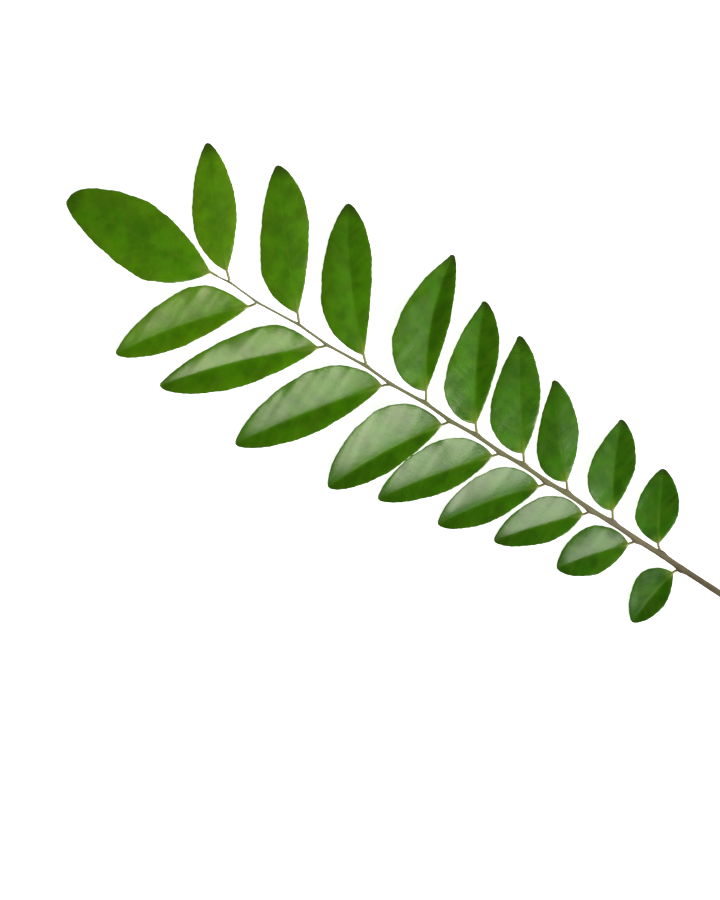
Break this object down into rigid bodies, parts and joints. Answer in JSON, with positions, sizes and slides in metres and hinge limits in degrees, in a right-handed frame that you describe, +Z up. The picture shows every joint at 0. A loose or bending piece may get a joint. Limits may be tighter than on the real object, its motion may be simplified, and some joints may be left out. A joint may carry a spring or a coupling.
{
  "type": "curry leaf sprig",
  "caption": "Picked curry leaf sprig lying flat: a thin arched stem with alternate pointed leaflets on short stalks and one terminal leaflet.",
  "frame": {"origin": "middle of the sprig's bounding box in plan, at the height of the surface that the sprig lies on", "axes": "+X along the stem from its cut base to the terminal leaflet, +Y to the left of the stem seen from above, +Z up out of the leaflets' top faces"},
  "size_m": [0.2261, 0.0776, 0.0061],
  "materials": {
    "stem": "matte",
    "leaflet_left_1": "satin",
    "leaflet_left_2": "satin",
    "leaflet_left_3": "satin",
    "leaflet_left_4": "satin",
    "leaflet_left_5": "satin",
    "leaflet_left_6": "satin",
    "leaflet_left_7": "satin",
    "leaflet_left_8": "satin",
    "leaflet_left_9": "satin",
    "leaflet_right_1": "satin",
    "leaflet_right_2": "satin",
    "leaflet_right_3": "satin",
    "leaflet_right_4": "satin",
    "leaflet_right_5": "satin",
    "leaflet_right_6": "satin",
    "leaflet_right_7": "satin",
    "leaflet_right_8": "satin",
    "leaflet_right_9": "satin",
    "leaflet_terminal": "satin"
  },
  "bodies": {
    "root": {"stem": "stem", "leaflet_left_1": "leaflet_left_1", "leaflet_left_2": "leaflet_left_2", "leaflet_left_3": "leaflet_left_3", "leaflet_left_4": "leaflet_left_4", "leaflet_left_5": "leaflet_left_5", "leaflet_left_6": "leaflet_left_6", "leaflet_left_7": "leaflet_left_7", "leaflet_left_8": "leaflet_left_8", "leaflet_left_9": "leaflet_left_9", "leaflet_right_1": "leaflet_right_1", "leaflet_right_2": "leaflet_right_2", "leaflet_right_3": "leaflet_right_3", "leaflet_right_4": "leaflet_right_4", "leaflet_right_5": "leaflet_right_5", "leaflet_right_6": "leaflet_right_6", "leaflet_right_7": "leaflet_right_7", "leaflet_right_8": "leaflet_right_8", "leaflet_right_9": "leaflet_right_9", "leaflet_terminal": "leaflet_terminal"}
  },
  "joints": []
}
